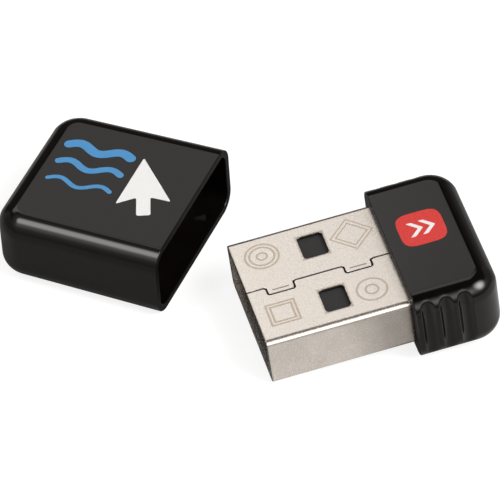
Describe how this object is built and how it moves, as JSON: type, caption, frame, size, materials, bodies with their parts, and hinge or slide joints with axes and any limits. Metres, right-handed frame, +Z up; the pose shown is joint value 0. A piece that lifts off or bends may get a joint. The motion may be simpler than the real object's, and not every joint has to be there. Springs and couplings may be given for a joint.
{
  "type": "mouse jiggler",
  "caption": "Tiny USB-A dongle with a rolled metal plug and a grip head with flutes, lying beside the push-on cap that was pulled off it; it acts as a mouse that moves by itself.",
  "frame": {"origin": "middle of the footprint of the dongle and its cap as they lie, on the table that carries them", "axes": "+X along the plug from its tip to the head, +Y to the side on which the cap lies, +Z up"},
  "size_m": [0.0358, 0.0306, 0.0068],
  "materials": {
    "cap_black": "smooth gloss moulding",
    "head_black": "smooth gloss moulding",
    "plated_steel": "nickel plated sheet with a fine satin grain",
    "insulator_grey": "fine matt moulding",
    "contact_gold": "gold plated, bright",
    "board_green": "solder mask over glass laminate",
    "chip_black": "moulded epoxy",
    "crystal_can": "plated lid",
    "ceramic_tan": "fired ceramic",
    "resistor_black": "glazed film on ceramic",
    "ferrite_grey": "fired ferrite",
    "solder": "reflowed solder"
  },
  "bodies": {
    "dongle": {"head_cover": "head_black", "plug_shell": "plated_steel", "plug_insulator": "insulator_grey", "contact_vbus": "contact_gold", "contact_data_minus": "contact_gold", "contact_data_plus": "contact_gold", "contact_ground": "contact_gold", "circuit_board": "board_green", "controller_chip": "chip_black", "crystal": "crystal_can", "crystal_load_capacitors": "ceramic_tan", "voltage_regulator": "chip_black", "esd_diode_array": "chip_black", "bulk_capacitor": "ceramic_tan", "decoupling_capacitors": "ceramic_tan", "series_resistors": "resistor_black", "pullup_resistor": "resistor_black", "ferrite_bead": "ferrite_grey", "contact_solder_joints": "solder", "shell_solder_joints": "solder"},
    "cap": {"cap_shell": "cap_black"}
  },
  "joints": [
    {"name": "cap_pull", "type": "slide", "parent": "dongle", "child": "cap", "axis": [-0.7859, 0.6184, 0], "range_m": [0, 0.01175]}
  ]
}
